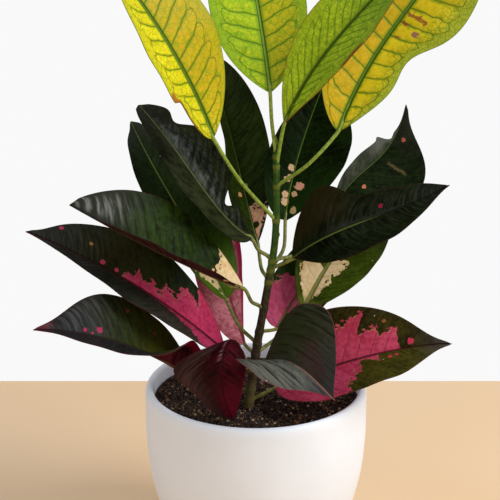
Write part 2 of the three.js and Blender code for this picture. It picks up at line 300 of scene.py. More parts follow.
def soil_crumbs(rng):
    """Each crumb is an icosahedron with its corners moved in and out, stretched, turned and set
    a quarter of its size above the lumps under it. It keeps three random numbers as its tone."""
    gold = (1 + 5 ** 0.5) / 2
    corners = np.array([[-1, gold, 0], [1, gold, 0], [-1, -gold, 0], [1, -gold, 0]])
    ball = np.vstack([np.roll(corners, turn, axis=1) for turn in range(3)])
    ball /= np.linalg.norm(ball[0])
    ball_faces = np.array([
        [0, 11, 5], [0, 5, 1], [0, 1, 7], [0, 7, 10], [0, 10, 11], [1, 5, 9], [5, 11, 4], [11, 10, 2],
        [10, 7, 6], [7, 1, 8], [3, 9, 4], [3, 4, 2], [3, 2, 6], [3, 6, 8], [3, 8, 9], [4, 9, 5],
        [2, 4, 11], [6, 2, 10], [8, 6, 7], [9, 8, 1],
    ])
    spread = CRUMB_REACH * np.sqrt(rng.uniform(0, 1, CRUMBS))
    bearing = rng.uniform(0, 2 * np.pi, CRUMBS)
    x, y = spread * np.cos(bearing), spread * np.sin(bearing)
    size = 0.35 + 0.75 * rng.uniform(0, 1, CRUMBS) ** 3
    stretch = size[:, None] * rng.uniform(0.6, 1.35, (CRUMBS, 3))
    turn = np.linalg.qr(rng.normal(size=(CRUMBS, 3, 3)))[0]
    turn *= np.sign(np.linalg.det(turn))[:, None, None]
    knobs = ball * rng.uniform(0.82, 1.18, (CRUMBS, len(ball), 1))
    points = np.einsum("cij,cpj->cpi", turn, knobs * stretch[:, None, :])
    seat = BED_LEVEL + 0.05 + LUMP_HEIGHT * lumps(x, y, np.random.default_rng(SOIL_SEED))
    points += np.stack([x, y, seat + 0.25 * size], -1)[:, None, :]
    tone = np.repeat(rng.uniform(0, 1, (CRUMBS, 3)), len(ball), axis=0)
    faces = (ball_faces + len(ball) * np.arange(CRUMBS)[:, None, None]).reshape(-1, 3)
    return points.reshape(-1, 3), [faces], [1], {"tone": tone}


def damp_soil():
    """Near-black grains with paler brown ones between them, damper in patches."""
    finish, place = placed_finish("damp potting soil")
    grain = place.cloud(1400, 3, 0.6)
    patchy = place.cloud(160, 3)
    earth = grain.rise(0.35, 0.7).paint(0x180E08, 0x4A3020)
    earth = patchy.rise(0.45, 0.7).paint(earth, 0x24170E)
    return wear(finish, earth, 0.82 + 0.14 * grain, grain * 0.9 + patchy * 0.8)


def crumb_bark():
    """Dark to mid brown from crumb to crumb, with one in six tan and a few nearly cream."""
    finish, place = placed_finish("soil crumbs")
    kind = finish[1].add("Attribute", out="Vector", attribute_name="tone")
    grain = place.cloud(2400, 2)
    bark = kind.part(0)
    earth = bark.rise(0.15, 0.9).paint(0x1C1009, 0x6A4A30)
    earth = bark.rise(0.8, 0.88).paint(earth, 0x94704C)
    earth = bark.rise(0.955, 0.965).paint(earth, 0xC4AE8A)
    earth = grain.rise(0.3, 0.7).paint(earth, (0.6, 0.55, 0.5, 1), "MULTIPLY")
    return wear(finish, earth, 0.78 + 0.2 * kind.part(1), grain * 0.3)


soil_rng = np.random.default_rng(SOIL_SEED)
soil_shells = [soil_bed(soil_rng), soil_crumbs(soil_rng)]
add_piece("soil", soil_shells, [damp_soil(), crumb_bark()], "soil", 180)


# --------------------------------------
# Stem. One upright shoot rooted in the soil: brown and corky low down, green and juicy above,
# a little swollen where each stalk joins, marked by old leaf scars, and ending in a small bud.
STEM = [[-6, -23, 90], [-5, -20, 109], [0, -15, 149], [5, -13, 178], [9, -11, 201], [11.4, -9, 219],
        [12.1, -8, 244], [11.7, -7, 276]]
STEM_TIP = [11.5, -6.6, 283]
STEM_SIDES = 28
STEM_TAPER = ([90, 205, 262, 272, 277, 281, 283], [3.0, 2.25, 1.9, 1.8, 1.5, 0.8, 0.15])  # height, radius
STEM_NODES = [117, 124, 133, 137, 140, 146.5, 153, 161, 176, 193, 200, 206, 231, 252, 264, 270]
FIRST_PALE_NODE = 9  # from the tenth up, the swollen rings are yellowish
STEM_SCARS = [(128, 4.2), (157, 5.4), (168, 4.4), (184, 3.6), (214, 5.0), (222, 3.4), (240, 5.6), (259, 4.3)]


def tube(path, radius, sides, finish):
    """A closed tube: a ring of the given radius round each point of the path, square to it, and a
    point in the middle of each end. radius may differ from point to point and round the ring."""
    along = np.gradient(path, axis=0)
    along /= np.linalg.norm(along, axis=1, keepdims=True)
    steady = np.eye(3)[np.argmin(np.abs(along).max(0))]
    side = np.cross(along, steady)
    side /= np.linalg.norm(side, axis=1, keepdims=True)
    other = np.cross(along, side)
    angle = (np.arange(sides) * 2 * np.pi / sides)[None, :, None]
    radius = np.broadcast_to(np.asarray(radius, float).reshape(len(path), -1), (len(path), sides))
    spoke = np.cos(angle) * side[:, None] + np.sin(angle) * other[:, None]
    ring = path[:, None] + radius[..., None] * spoke
    count = len(path) * sides
    faces = [grid_faces(len(path), sides, True), *ring_ends(len(path), sides, count, count + 1)]
    return np.vstack([ring.reshape(-1, 3), path[:1], path[-1:]]), faces, [finish] * 3, {}


def stem_shell():
    """A tube on the stem's line. Its radius tapers, swells by a bell curve at each node and on one
    side at each scar, and has five low ridges that wind slowly round it."""
    line = smooth_path([*STEM, STEM_TIP], 420)
    height = line[:, 2]
    angle = np.arange(STEM_SIDES) * 2 * np.pi / STEM_SIDES
    radius = np.interp(height, *STEM_TAPER)
    for node_height in STEM_NODES:
        radius += 0.4 * np.exp(-((height - node_height) / 1.9) ** 2)
    radius = radius[:, None] + 0.07 * np.sin(5 * angle + height[:, None] / 14)
    for scar_height, scar_angle in STEM_SCARS:
        bulge = np.exp(-((height[:, None] - scar_height) / 1.3) ** 2 - ((angle - scar_angle) / 0.5) ** 2)
        radius += 0.6 * bulge
    return tube(line, radius, STEM_SIDES, 0)


def stem_bark():
    """Brown bark below turning green above, tan just over the soil, with long streaks, blotches,
    pale pores low down and yellowish rings at the upper nodes."""
    finish, place = placed_finish("stem bark")
    level = place.part(2) / MM
    drawn_out = place.add("Mapping", {"Vector": place, "Scale": (1.0, 1.0, 0.18)})
    streaks = drawn_out.cloud(1500, 3, 0.6)
    blotch = place.cloud(220, 3)
    low_bark = streaks.rise(0.35, 0.65).paint(0x1C140B, 0x4A3A20)
    low_bark = blotch.rise(0.55, 0.7).paint(low_bark, 0x2A3214)
    high_bark = streaks.rise(0.3, 0.7).paint(0x24400C, 0x3A5A12)
    high_bark = blotch.rise(0.5, 0.75).paint(high_bark, 0x54681C)
    bark = (level + 30 * (blotch - 0.5)).rise(180, 214).paint(low_bark, high_bark)
    bark = ((level + 8 * (blotch - 0.5)).rise(136, 122) * 0.8).paint(bark, 0x5E5028)
    pores = place.cells(620).rise(0.16, 0.08) * level.rise(215, 150) * 0.8
    bark = pores.paint(bark, 0x8A7650)
    for node_height in STEM_NODES[FIRST_PALE_NODE:]:
        swollen = (abs(level - node_height) + 2 * (blotch - 0.5)).rise(2.2, 0.6) * 0.3
        bark = swollen.paint(bark, 0x97902C)
    return wear(finish, bark, 0.5 + 0.25 * streaks, streaks * 0.35 + pores * 0.25, shine=0.25)


add_piece("stem", [stem_shell()], [stem_bark()], "stem")


# --------------------------------------
# Old leaves. Thick leathery blades, near black-green above and dull wine below, each on a short
# olive stalk that is swollen where it grips the stem. Straight side veins run out from a stout
# midrib; some blades keep cream or salmon blocks between their veins, and stray pale specks.
BLADE_ROWS = 132
BLADE_COLUMNS = 53
HALF_THICKNESS = 0.27
GROOVE = (0.3, 0.7)  # depth and spread of the groove over the midrib
RIDGE = (0.95, 1.0)  # height and spread of the ridge under it
STALK_STEPS = 60
STALK_SIDES = 18
STALK_PLACES = [0, 0.06, 0.16, 0.55, 0.8, 0.9, 1]  # where a leaf's seven stalk radii lie, stem to blade


def unit(a):
    return a / np.linalg.norm(a, axis=-1, keepdims=True)


def half_width(leaf, half, t):
    """Width from midrib to margin: (t / peak)^m ((1 - t) / (1 - peak))^n times the widest, less
    any dips in the margin or torn-off strip, and rounded off over the last two hundredths."""
    m, n = leaf["m"][half], leaf["n"][half]
    peak = m / (m + n)
    width = leaf["width"][half] * (t / peak) ** m * ((1 - t) / (1 - peak)) ** n
    for side, place, depth, spread in leaf["dent"]:
        if side == half:
            width = width * (1 - depth * np.exp(-((t - place) / spread) ** 2))
    for side, place, depth in leaf["torn"]:
        if side == half:
            width = width * (1 - depth / (1 + np.exp((t - place) / 0.004)))
    return width * np.sqrt(np.clip((0.9935 - t) / 0.02, 0, 1))


def half_rise(leaf, half, t):
    """How far that half is folded up from flat at t: a straight change, and a bell curve a kick."""
    start, end = leaf["fold"][2 * half:2 * half + 2]
    angle = start + (end - start) * t
    for side, place, degrees, spread in leaf["kick"]:
        if side == half:
            angle = angle + degrees * np.exp(-((t - place) / spread) ** 2)
    return np.radians(angle)


def leaf_frame(leaf, t):
    """Midrib point, its direction, and the blade's upward direction at each t. The midrib is the
    cubic that passes its four points at t = 0, 1/3, 2/3 and 1."""
    p0, p1, p2, p3 = np.asarray(leaf["rib"], float)
    c1 = (-5 * p0 + 18 * p1 - 9 * p2 + 2 * p3) / 6
    c2 = (2 * p0 - 9 * p1 + 18 * p2 - 5 * p3) / 6
    u = t[:, None]
    rib = (1 - u) ** 3 * p0 + 3 * (1 - u) ** 2 * u * c1 + 3 * (1 - u) * u ** 2 * c2 + u ** 3 * p3
    along = unit((1 - u) ** 2 * (c1 - p0) + 2 * (1 - u) * u * (c2 - c1) + u ** 2 * (p3 - c2))
    face = (1 - u) * np.array(leaf["face"][0]) + u * np.array(leaf["face"][1])
    up = unit(face - (face * along).sum(-1, keepdims=True) * along)
    return rib, along, up


def blade_shell(leaf, seed):
    """A blade point is midrib(t) + v w(t) (side cos a + up sin a), with v from -1 at the left margin
    to 1 at the right, w the half width and a that half's rise. Both faces then stand off it by half
    the thickness, lifted between side veins, waved at the margin, grooved over the midrib and ridged
    under it. Each point keeps (t, v, q) and (s, y): s and y are millimetres along and across, q the
    part of the midrib that the nearest side vein leaves from. Gives the shell and the length."""
    even = np.linspace(0, 1, BLADE_ROWS)
    t = 0.004 + 0.989 * (0.5 * even + 0.25 * (1 - np.cos(np.pi * even)))
    even = np.linspace(-1, 1, BLADE_COLUMNS)
    v = np.sign(even) * np.abs(even) ** 1.25
    out = np.abs(v)
    rib, along, up = leaf_frame(leaf, t)
    side = np.cross(along, up)
    width = [half_width(leaf, half, t)[:, None] for half in (0, 1)]
    rise = [half_rise(leaf, half, t)[:, None] for half in (0, 1)]
    w = np.where(v > 0, width[1], width[0])
    a = np.where(v > 0, rise[1], rise[0])
    y = v * w
    soft = np.sqrt(v ** 2 + 0.0009) - 0.03
    middle = rib[:, None] + (y * np.cos(a))[..., None] * side[:, None]
    middle = middle + (soft * w * np.sin(a))[..., None] * up[:, None]
    s = np.concatenate([[0], np.cumsum(np.linalg.norm(np.diff(rib, axis=0), axis=1))])[:, None]
    length = s[-1, 0]
    t = t[:, None]

    phase = np.random.default_rng(seed).uniform(0, 2 * np.pi, 5)
    wander = 0.9 * np.sin(9.1 * t + phase[0]) * out + 0.6 * np.sin(17 * t + phase[1]) * out ** 2
    q = (s - leaf["lean"] * np.abs(y) - leaf["bend"] * out ** 3 + wander) / length
    bay = q * leaf["veins"] + 0.5 * (v < 0)
    quilt = np.abs(np.cos(np.pi * bay)) ** 0.8 * (1 - np.exp(-out / 0.12)) * (1 - out ** 4)
    beat = np.where(v < 0, phase[2], phase[3])
    wave = np.sin(2 * np.pi * leaf["waves"] * t + beat)
    wave = wave + 0.5 * np.sin(4.6 * np.pi * leaf["waves"] * t + phase[4])
    relief = leaf["quilt"] * quilt + leaf["ripple"] * out ** 2.5 * wave * np.sin(np.pi * t)
    lift = unit(np.cross(np.gradient(middle, axis=1), np.gradient(middle, axis=0)))
    thick = HALF_THICKNESS - 0.12 * out ** 5 + 0 * t
    groove = GROOVE[0] * (1 - 0.6 * t) * np.exp(-(y / GROOVE[1]) ** 2)
    ridge = RIDGE[0] * (1 - 0.75 * t) * np.exp(-(y / (RIDGE[1] - 0.4 * t)) ** 2)
    upper = middle + (relief + thick - groove)[..., None] * lift
    lower = middle + (relief - thick - ridge)[..., None] * lift

    rows, columns = w.shape
    top = np.arange(rows * columns).reshape(rows, columns)
    low = top + rows * columns
    sheet = grid_faces(rows, columns)

    def strip(a, b):
        return np.stack([a[:-1], a[1:], b[1:], b[:-1]], -1)

    rim = np.vstack([strip(top[:, 0], low[:, 0]), strip(low[:, -1], top[:, -1]),
                     strip(low[0], top[0]), strip(top[-1], low[-1])])
    marks = {
        "blade": np.stack([t + 0 * y, v + 0 * y, q], -1).reshape(-1, 3),
        "sheet": np.stack([s + 0 * y, y, 0 * y + 60 * seed], -1).reshape(-1, 3),
    }
    marks = {key: np.vstack([value, value]) for key, value in marks.items()}
    points = np.vstack([upper.reshape(-1, 3), lower.reshape(-1, 3)])
    return (points, [sheet, sheet[:, ::-1] + rows * columns, rim], [0, 1, 0], marks), length


def stalk_shell(leaf):
    """A tube from the stem's line at the leaf's node, 5 mm straight out, then under the midrib."""
    stem = np.array(STEM)
    start = np.array([np.interp(leaf["node"], stem[:, 2], stem[:, axis]) for axis in range(3)])
    under, _, under_up = leaf_frame(leaf, np.array([0.0, 0.07, 0.14]))
    under = under - np.array([[0.2], [1.3], [1.0]]) * under_up
    goal = np.array(leaf["via"][0], float) if leaf["via"] else under[0]
    path = smooth_path([start, start + 5 * unit(goal - start), *leaf["via"], *under], STALK_STEPS)
    radius = np.interp(np.linspace(0, 1, STALK_STEPS), STALK_PLACES, leaf["stalk"])
    return tube(path, radius, STALK_SIDES, 2)


class Blade:
    """What the layers of a leaf's finish read at a point: its (t, v, q) and (s, y), its half, how
    far out it is from the midrib, noises of several sizes, and furrows along the side veins."""

    def __init__(self, start, leaf, length):
        blade = start.add("Attribute", out="Vector", attribute_name="blade")
        sheet = start.add("Attribute", out="Vector", attribute_name="sheet")
        self.sheet, self.length = sheet, length
        self.t, self.v, self.q = (blade.part(axis) for axis in range(3))
        self.y = sheet.part(1)
        self.out = abs(self.v)
        self.right = start.math("GREATER_THAN", self.v, 0.0)
        self.side = {"left": 1 - self.right, "right": self.right, "both": 1.0}
        self.broad = sheet.cloud(0.06, 3)
        self.middle = sheet.cloud(0.35, 3)
        self.drift = self.broad - 0.5
        self.wobble = self.middle - 0.5
        self.fine = sheet.cloud(1.5, 2)
        self.block = sheet.cells(0.5, out=1).part(0)
        slant, across = leaf["wrinkle"][:2]
        run = {0: self.q * length * slant, 1: abs(self.y) * across, 2: sheet.part(2)}
        self.furrow = start.add("CombineXYZ", run).cloud(1.0, 3, 0.6)

        astray = leaf["stray"] * (sheet.cloud(0.085, 2) - 0.5) * self.out
        bay = start.math("FRACT", self.q * leaf["veins"] + 0.5 * (1 - self.right) + astray)
        bay = abs(bay - 0.5)
        self.arc = leaf["loop"] + 0.13 * start.math("SINE", bay * np.pi)
        self.arc = self.arc + 0.4 * leaf["stray"] * self.drift
        self.from_vein = bay * (length / leaf["veins"])
        self.to_margin = abs(self.y) / (self.out | 0.02)
        line = leaf["line"] * (1.25 - 0.6 * self.out)
        self.vein = self.from_vein.rise(0.5 * line + 0.3, 0.5 * line - 0.05)
        if leaf["loop"] < 1:  # the veins stop at an arc and join into hoops along it
            self.vein = self.vein * (self.out - self.arc).rise(0.03, -0.01)
            hoop = (abs(self.out - self.arc) * self.to_margin).rise(0.65, 0.2) * 0.8
            self.vein = self.vein | hoop * self.out.rise(0.3, 0.5)


def ground_colour(on, leaf):
    """The two grounds, darkened in the furrows as painted shade, then blushes, changes along t (the grey
    towards dark tips is painted sheen) and coloured margins.
    """
    mottle = (0.4 * on.broad + 0.3 * on.middle + 0.3 * on.furrow).rise(0.4, 0.6)
    colour = on.right.paint(mottle.paint(*leaf["left"]), mottle.paint(*leaf["right"]))
    # Painted shade: the ground is darkened where the furrows sink.
    colour = (on.furrow.rise(0.5, 0.36) * leaf["wrinkle"][2]).paint(colour, (0.35, 0.35, 0.35, 1), "MULTIPLY")
    for code, low, high, amount in leaf["blush"]:
        colour = (on.middle.rise(low, high) * amount).paint(colour, code)
    # The grey that along lays towards the tips of the dark blades is painted sheen; its greens and reds are
    # the leaves' own colour.
    for code, low, high, amount in leaf["along"]:
        colour = ((on.t + 0.2 * on.drift).rise(low, high) * amount).paint(colour, code)
    for code, low, high, amount, half in leaf["margins"]:
        mask = (on.out + 0.3 * on.wobble).rise(low, high) * amount * on.side[half]
        colour = mask.paint(colour, code)
    return colour


def vein_colour(on, leaf, colour, mesh):
    """A soft border along veins and midrib, and a net of fine veins between them."""
    for code, amount, spread in leaf["halo"]:
        near = on.from_vein + 2.4 * on.wobble + 2.0 * on.drift
        near = near.rise(spread, 0.2) * (on.out - on.arc).rise(0.2, -0.02)
        beside = (abs(on.y) + 2.2 * on.wobble).rise(spread * 2.0, spread * 0.6)
        colour = ((near * 0.8 | beside) * amount).paint(colour, code)
    edge = on.sheet.cells(0.24, "DISTANCE_TO_EDGE").rise(0.07, 0.015)
    for code, amount, small, low, high, half in leaf["net"]:
        where = (on.out + 0.25 * on.drift).rise(low, high) * on.side[half]
        colour = ((edge | mesh * small) * where * amount).paint(colour, code)
    return colour


def bleached_blocks(on, leaf, colour, mesh):
    """Ragged blocks beside the midrib, as far out as their (q, v) stops reach: two mottled colours,
    one for their veins and one for their edge. Gives the colour and where the blocks are."""
    flush = 0.0 * on.t
    for half, reach, codes, streak in leaf["patches"]:
        dim, bright, veined, edged = codes
        far = on.q.table(reach)
        torn = leaf["ragged"] * (on.block - 0.5) + 0.1 * on.wobble
        depth = far - 0.02 - on.out - far.rise(0.0, 0.3) * torn
        inside = depth.rise(-0.012, 0.018) * on.side[half]
        body = (0.6 * on.middle + 0.4 * on.broad).rise(0.38, 0.62).paint(dim, bright)
        body = (mesh * 0.35 * depth.rise(0.35, 0.02)).paint(body, veined)
        body = (on.vein * streak).paint(body, veined)
        body = (depth.rise(0.07, 0.0) * on.block * 0.7).paint(body, edged)
        colour = inside.paint(colour, body)
        flush = flush | inside
    return colour, flush


def small_marks(on, leaf, colour):
    """Soft-edged touches between two t and two v, glints that follow the furrows, round spots of a
    radius in millimetres, and scattered specks."""
    for marks, streaks in ((leaf["touches"], 1.0), (leaf["glints"], on.furrow.rise(0.42, 0.72))):
        for code, t0, t1, v0, v1, edge_t, edge_v, amount in marks:
            t, v = on.t + 0.05 * on.wobble, on.v + 0.16 * on.wobble
            mask = t.rise(t0 - edge_t, t0 + edge_t) * t.rise(t1 + edge_t, t1 - edge_t)
            mask = mask * v.rise(v0 - edge_v, v0 + edge_v) * v.rise(v1 + edge_v, v1 - edge_v)
            colour = (mask * streaks * amount).paint(colour, code)
    for code, t0, v0, size in leaf["spots"]:
        spot_at = (t0 * on.length, v0 * half_width(leaf, int(v0 > 0), t0), 0.0)
        flat = on.sheet.add("VectorMath", {0: on.sheet, 1: (1.0, 1.0, 0.0)}, operation="MULTIPLY")
        far = on.sheet.add("VectorMath", {0: flat, 1: spot_at}, 1, operation="DISTANCE")
        mask = (far / size + 1.6 * on.wobble + 0.35 * (on.block - 0.5)).rise(1.08, 0.9)
        colour = mask.paint(colour, code)
    code, share = leaf["specks"]
    chosen = on.sheet.cells(0.13, out=1).part(1)
    mask = (on.sheet.cells(0.13) / 0.13).rise(0.42, 0.2) * chosen.rise(1 - share, 1.01 - share)
    return (mask * 0.8).paint(colour, code)


def midrib_and_rim(on, leaf, colour):
    """A midrib that narrows to the tip, with a paler core, and a thin coloured rim round the blade.
    Gives the colour and where the midrib is."""
    code, wide, narrow, core = leaf["midrib"]
    rib_half = 0.5 * wide + 0.5 * (narrow - wide) * on.t
    rib = (abs(on.y) - rib_half).rise(0.3, -0.15)
    rib_colour = (abs(on.y) - 0.35 * rib_half).rise(0.25, -0.1).paint(code, core)
    if leaf["rib_tip"]:
        code, low, high = leaf["rib_tip"]
        rib_colour = on.t.rise(low, high).paint(rib_colour, code)
    colour = (rib * leaf["rib_strength"]).paint(colour, rib_colour)
    code, amount = leaf["rim"]
    rim = (on.to_margin * (1 - on.out)).rise(0.55, 0.15)
    return (rim * amount).paint(colour, code), rib


def leaf_finish(name, leaf, length, sunken):
    """One face of a blade. Its veins are sunk into the upper side and stand out on the underside."""
    finish = new_finish(name)
    on = Blade(finish[1], leaf, length)
    mesh = on.sheet.cells(0.62, "DISTANCE_TO_EDGE").rise(0.12, 0.03)
    colour = ground_colour(on, leaf)
    colour = vein_colour(on, leaf, colour, mesh)
    colour, flush = bleached_blocks(on, leaf, colour, mesh)
    code, amount = leaf["vein"]
    colour = (on.vein * amount * (1 - 0.85 * flush)).paint(colour, code)
    colour = small_marks(on, leaf, colour)
    colour, rib = midrib_and_rim(on, leaf, colour)
    rough = leaf["gloss"] + 0.16 * (on.middle - 0.4) + 0.1 * flush + 0.08 * rib
    height = (on.vein * leaf["sink"] + rib * 0.3) * (-1.0 if sunken else 1.0)
    height = height + 0.05 * on.fine + leaf["wrinkle"][3] * on.furrow + leaf["crumple"] * on.broad
    return wear(finish, colour, rough, height, shine=leaf["shine"])


def stalk_finish(name, light, dark):
    """Long streaks of two greens, with brown freckles in patches."""
    finish, place = placed_finish(name)
    streaks = place.cloud(420, 3, 0.6)
    tone = streaks.rise(0.32, 0.68).paint(dark, light)
    freckle = place.cells(900).rise(0.3, 0.12) * place.cloud(120).rise(0.5, 0.7)
    tone = (freckle * 0.5).paint(tone, 0x4A3A20)
    return wear(finish, tone, 0.42 + 0.2 * streaks, streaks * 0.25)


def add_leaf(part, slot, seed, base, **own):
    """A leaf with the values of base and its own. Its underside takes those in below instead."""
    leaf = {**base, **own}
    blade, length = blade_shell(leaf, seed)
    name = part.replace("leaf_", "")
    above = leaf_finish(name + " upper side", leaf, length, True)
    below = leaf_finish(name + " underside", {**leaf, **leaf["below"]}, length, False)
    finishes = [above, below, leaf["stalk_finish"]]
    add_piece(name + "_leaf", [blade, stalk_shell(leaf)], finishes, part, 50)


def both(one, other):
    """The same pair of ground colours on both halves of a blade."""
    return {"left": (one, other), "right": (one, other)}


# A leaf's shape: rib, four points of the midrib, stalk end to tip; face, where the upper side looks at
# both ends; width, m and n, each half's greatest width and how it swells and narrows; fold, each
# half's rise at both ends in degrees; node, the height where the stalk leaves the stem; via, points
# that the stalk passes. The functions above name the numbers in a leaf's other lists as they take
# them apart. Lengths are in millimetres.
olive_stalk = stalk_finish("olive stalk", 0x8B8C3C, 0x5E5F26)
# The grey that along lays towards the tip of each dark blade is painted sheen.
dark_look = dict(
    lean=0.55, bend=5.0, veins=15, loop=1.2, line=0.3, waves=2.2, ripple=0.7, quilt=0.13,
    stalk=[1.9, 1.6, 1.2, 1.1, 1.3, 1.15, 0.35], left=(0x0A1203, 0x141F08), right=(0x080F03, 0x121B07),
    blush=[(0x20300C, 0.55, 0.8, 0.5)], along=[(0x1C1F16, 0.6, 1.05, 0.7)], margins=[], net=[], halo=[],
    patches=[], ragged=0.22, vein=(0x2E3C18, 0.35), touches=[], glints=[], spots=[],
    specks=(0xC8C8A0, 0.12), midrib=(0x34401E, 1.9, 0.7, 0x50602E), rib_tip=None, rib_strength=0.85,
    rim=(0x1A1A10, 0.6), gloss=0.36, shine=0.05, sink=0.1, crumple=1.2, stray=0.5,
    dent=[], torn=[], kick=[], via=[], stalk_finish=olive_stalk,
    # The third wrinkle number is how strongly painted shade darkens the furrows.
    wrinkle=(0.5, 0.09, 0.35, 0.14),  # the furrows' pitch along and across, then how dark and how high
    below=dict(
        **both(0x2E1A18, 0x3A2420), blush=[(0x4A2028, 0.5, 0.8, 0.5)], along=[], touches=[], glints=[],
        vein=(0x5A3A30, 0.5), midrib=(0x5A4028, 2.2, 0.8, 0x6A5030), gloss=0.55,
    ),
)
CREAM = (0xDDBB85, 0xEBCFA0, 0xA89A50, 0xB9894E)
SALMON = (0xC08A68, 0xCFA080, 0x5E4422, 0x6A4A28)

add_leaf(
    "leaf_dark_back_left", "leaf_dark", 1, dark_look,
    rib=[[1, 6, 212], [-8, 24, 243], [-18, 44, 279], [-32, 60, 321]],
    face=[[0.1, -1, 0.3], [0, -0.9, 0.5]], width=[17, 23], m=[0.5, 0.9], n=[1.3, 0.6],
    fold=[45, 75, 15, 10], node=193, via=[[3, -2, 199]],
    veins=16, midrib=(0x3C4A22, 1.8, 0.7, 0x5C6E34), left=(0x1A2406, 0x2A380A),
    right=(0x182206, 0x263408), ragged=0.4, glints=[(0x48583A, 0.3, 0.95, 0.1, 0.9, 0.1, 0.2, 0.15)],
    patches=[
        ("right", [(0, 0.5), (0.03, 0.9), (0.1, 0.9), (0.13, 0.5), (0.17, 0.35), (0.19, 0)], SALMON, 0.3)],
    spots=[
        (0xC08A5C, 0.25, -0.36, 1.7), (0x8A7A3C, 0.3, 0.12, 1.3), (0x8A7A3C, 0.35, -0.1, 1.1),
        (0x1C2A0A, 0.09, 0.3, 2)],
)

add_leaf(
    "leaf_dark_back_right", "leaf_dark", 2, dark_look,
    rib=[[18, 8, 226], [24, 26, 253], [33, 44, 278], [44, 58, 304]],
    face=[[-0.2, -1, 0.3], [-0.1, -0.9, 0.5]], width=[19, 32], m=[0.5, 0.8], n=[0.8, 0.75],
    fold=[20, 15, 15, 10], node=200, via=[[17, 0, 211]],
    veins=14, midrib=(0x425C12, 1.1, 0.5, 0x58761C), vein=(0x1E3208, 0.35), left=(0x070E02, 0x122006),
    right=(0x070E02, 0x122204), along=[(0x183006, 0.5, 0, 0.7)],
    spots=[
        (0xC8A47C, 0.36, -0.12, 2.2), (0xC49C74, 0.27, -0.2, 2), (0xC49C74, 0.3, -0.12, 1.4),
        (0xC8946E, 0.235, 0.24, 3), (0xD98A7A, 0.24, 0.25, 1.6), (0xC49A70, 0.18, 0.17, 1.8),
        (0xCDA67C, 0.17, -0.16, 2.4), (0xCDA67C, 0.12, -0.15, 2.4), (0xB49A60, 0.065, 0.45, 2.1)],
)

# Painted sheen: the grey of the left half, palest under the first touch, and the grey towards the tip.
add_leaf(
    "leaf_dark_right_upper", "leaf_dark", 3, dark_look,
    rib=[[45, 6, 217], [58.5, 15, 248], [79, 29, 263], [94, 38, 294]],
    face=[[-0.1, -0.9, 0.4], [-0.3, -0.9, 0.4]], width=[11, 39], m=[1.2, 0.7], n=[0.8, 0.8],
    fold=[40, 40, 20, 15],
    dent=[[0, 0.93, 0.95, 0.16], [0, 0.8, 0.6, 0.035], [0, 0.735, -0.35, 0.03], [1, 0.96, 0.65, 0.14]],
    node=206, via=[[28, -1, 208]],
    veins=14, along=[(0x38352E, 0.7, 1, 0.8)], right=(0x10180A, 0x1E2812), left=(0x2E3226, 0x4A4C3E),
    touches=[
        (0x62645C, 0.6, 0.9, -1.2, -0.4, 0.1, 0.15, 0.6),
        (0x6A5A38, 0.625, 0.645, 0.2, 0.62, 0.004, 0.05, 0.6)],
    spots=[(0xC87858, 0.385, 0.23, 1.5), (0xC0644A, 0.79, 0.29, 1.4)],
)

add_leaf(
    "leaf_patch_right", "leaf_dark", 4, dark_look,
    rib=[[30, 4, 169], [45, 18, 193], [62, 32, 213], [84, 44, 235]], face=[[-0.1, -0.9, 0.4]] * 2,
    width=[24, 26], m=[0.7, 0.7], n=[0.6, 0.6], fold=[15, 10, 15, 10], node=147, via=[[14, -6, 155]],
    veins=10, left=(0x303E08, 0x46520E), right=(0x2E3C08, 0x42500E), along=[(0x1A2210, 0.5, 0.8, 0.8)],
    midrib=(0x5A6020, 3.4, 0.8, 0x747A30),
    patches=[
        ("left", [
            (0.02, 0.1), (0.05, 0.62), (0.1, 0.8), (0.24, 0.82), (0.28, 0.5), (0.31, 0)], CREAM, 0.4),
        ("right", [
            (0.04, 0.1), (0.08, 0.3), (0.16, 0.36), (0.22, 0.34), (0.3, 0.44), (0.37, 0.42), (0.4, 0)
        ], CREAM, 0.4)],
    touches=[(0x6E7A22, -0.1, 0.07, -1.2, 1.2, 0.03, 0.1, 0.6)],
)

# Painted sheen: the grey touch beside the midrib on the right half and the grey towards the tip; the glints
# are painted highlights.
add_leaf(
    "leaf_dark_left_upper", "leaf_dark", 5, dark_look,
    rib=[[-3, -8, 220], [-24, -10, 240], [-46, -8, 271], [-71, 2, 300]], face=[[0.55, -0.5, 0.65]] * 2,
    width=[24, 29], m=[0.6, 1.2], n=[0.6, 0.8], fold=[20, 18, 12, 8],
    dent=[[1, 0.3, 0.66, 0.06], [1, 0.82, 0.45, 0.06]], node=207, via=[[1, -10, 213]],
    veins=16, midrib=(0x4A5030, 2, 0.8, 0x68703C), along=[(0x24231F, 0.65, 1, 0.8)], quilt=0.35,
    gloss=0.3, wrinkle=(0.2, 0.14, 0.6, 0.5), crumple=2.4, shine=0.07, left=(0x1D200F, 0x2F331C),
    right=(0x101403, 0x202406), glints=[(0x70766E, 0.25, 0.85, 0.02, 0.3, 0.1, 0.08, 0.35)],
    touches=[
        (0x383B34, 0.3, 0.8, 0.02, 0.2, 0.1, 0.06, 0.3), (0x05070A, 0.3, 0.9, 0.25, 0.5, 0.1, 0.1, 0.5)],
)

